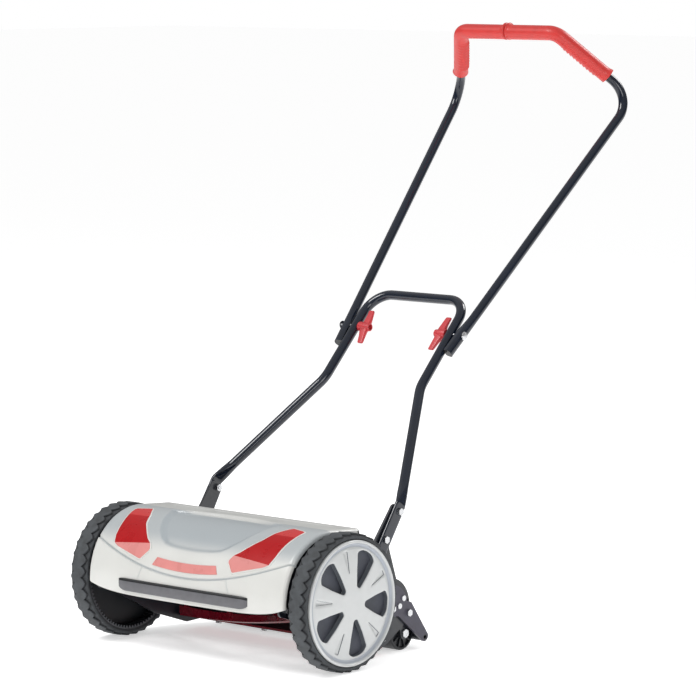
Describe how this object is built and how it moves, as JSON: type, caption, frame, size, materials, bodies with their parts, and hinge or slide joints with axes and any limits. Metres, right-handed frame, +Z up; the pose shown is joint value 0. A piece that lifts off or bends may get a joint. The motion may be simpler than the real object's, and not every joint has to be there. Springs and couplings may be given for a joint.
{
  "type": "reel mower",
  "caption": "Push reel mower with side wheels, helical cutting reel under a moulded shroud, rear roller and a folding tube handle with a grip bar.",
  "frame": {"origin": "on the ground under the centre of the mower's outer box", "axes": "+X along the wheel axle, -Y the front (direction of travel), +Y towards the operator, +Z up"},
  "size_m": [0.51, 0.8704, 0.9609],
  "materials": {
    "chassis": "satin black",
    "zinc": "zinc plated",
    "nylon": "satin",
    "shroud": "satin silver grey",
    "bumper": "fine grain",
    "reel": "dark red paint",
    "gear_steel": "oiled steel",
    "rim": "satin",
    "tyre": "rubber",
    "hub_cap": "silver lacquer",
    "bracket": "satin grey",
    "roller": "satin black",
    "tube": "gloss navy black",
    "grip": "satin red",
    "wing_nut": "satin red"
  },
  "bodies": {
    "frame": {"side_plate_left": "chassis", "side_plate_right": "chassis", "front_tie_rod": "zinc", "top_tie_rod": "zinc", "tie_rod_nuts": "zinc", "reel_bearing_left": "nylon", "reel_bearing_right": "nylon", "shroud": "shroud", "shroud_screws": "zinc", "bumper_bar": "bumper", "bumper_screws": "zinc", "adjuster_lugs": "chassis", "adjuster_screws": "zinc", "wheel_axle_left": "zinc", "wheel_axle_right": "zinc", "axle_nuts": "zinc", "wheel_clips": "zinc", "lower_handle": "tube", "foot_bolts": "zinc"},
    "bed": {"bed_knife": "chassis", "bed_bar": "chassis", "knife_screws": "zinc", "bed_pivot_bolts": "zinc"},
    "reel": {"reel_shaft": "reel", "reel_spiders": "reel", "reel_blades": "reel", "ratchet_keys": "zinc", "reel_clips": "zinc"},
    "right_pinion": {"pinion_right": "gear_steel"},
    "left_pinion": {"pinion_left": "gear_steel"},
    "right_wheel": {"ring_gear_right": "nylon", "rim_right": "rim", "tyre_right": "tyre", "hub_cap_right": "hub_cap"},
    "left_wheel": {"ring_gear_left": "nylon", "rim_left": "rim", "tyre_left": "tyre", "hub_cap_left": "hub_cap"},
    "height_frame": {"roller_bracket_left": "bracket", "roller_bracket_right": "bracket", "roller_arm_left": "chassis", "roller_arm_right": "chassis", "height_pivots": "zinc", "height_lock_bolts": "zinc", "bracket_rivets": "zinc", "rear_cross_bar": "roller", "roller_axle": "zinc", "roller_axle_nuts": "zinc"},
    "roller": {"roller_tube": "roller", "roller_end_left": "roller", "roller_end_right": "roller"},
    "folding_handle": {"upper_handle": "tube", "grip_left": "grip", "grip_right": "grip", "fold_bolt_left": "zinc", "fold_bolt_right": "zinc"},
    "right_wing_nut": {"wing_nut_right": "wing_nut"},
    "left_wing_nut": {"wing_nut_left": "wing_nut"}
  },
  "joints": [
    {"name": "right_wheel_spin", "type": "hinge", "parent": "frame", "child": "right_wheel", "pos_m": [0, -0.31972, 0.106], "axis": [1, 0, 0], "continuous": true},
    {"name": "left_wheel_spin", "type": "hinge", "parent": "frame", "child": "left_wheel", "pos_m": [0, -0.31972, 0.106], "axis": [1, 0, 0], "continuous": true},
    {"name": "reel_spin", "type": "hinge", "parent": "frame", "child": "reel", "pos_m": [0, -0.24472, 0.09371], "axis": [1, 0, 0], "continuous": true},
    {"name": "right_pinion_spin", "type": "hinge", "parent": "frame", "child": "right_pinion", "pos_m": [0, -0.24472, 0.09371], "axis": [1, 0, 0], "continuous": true},
    {"name": "left_pinion_spin", "type": "hinge", "parent": "frame", "child": "left_pinion", "pos_m": [0, -0.24472, 0.09371], "axis": [1, 0, 0], "continuous": true},
    {"name": "bed_knife_adjust", "type": "hinge", "parent": "frame", "child": "bed", "pos_m": [0, -0.1883, 0.02795], "axis": [1, 0, 0], "range_deg": [0, 1.5]},
    {"name": "cutting_height", "type": "hinge", "parent": "frame", "child": "height_frame", "pos_m": [0, -0.16972, 0.072], "axis": [1, 0, 0], "range_deg": [-12, 24]},
    {"name": "roller_spin", "type": "hinge", "parent": "height_frame", "child": "roller", "pos_m": [0, -0.12972, 0.027], "axis": [1, 0, 0], "continuous": true},
    {"name": "handle_fold", "type": "hinge", "parent": "frame", "child": "folding_handle", "pos_m": [0, 0.08228, 0.47], "axis": [1, 0, 0], "range_deg": [0, 135]},
    {"name": "right_wing_nut_turn", "type": "hinge", "parent": "folding_handle", "child": "right_wing_nut", "pos_m": [0, 0.08228, 0.47], "axis": [1, 0, 0], "continuous": true},
    {"name": "left_wing_nut_turn", "type": "hinge", "parent": "folding_handle", "child": "left_wing_nut", "pos_m": [0, 0.08228, 0.47], "axis": [1, 0, 0], "continuous": true}
  ],
  "couplings": [
    {"joint": "reel_spin", "follows": "right_wheel_spin", "ratio": 6.0667},
    {"joint": "right_pinion_spin", "follows": "right_wheel_spin", "ratio": 6.0667},
    {"joint": "left_pinion_spin", "follows": "left_wheel_spin", "ratio": 6.0667}
  ]
}
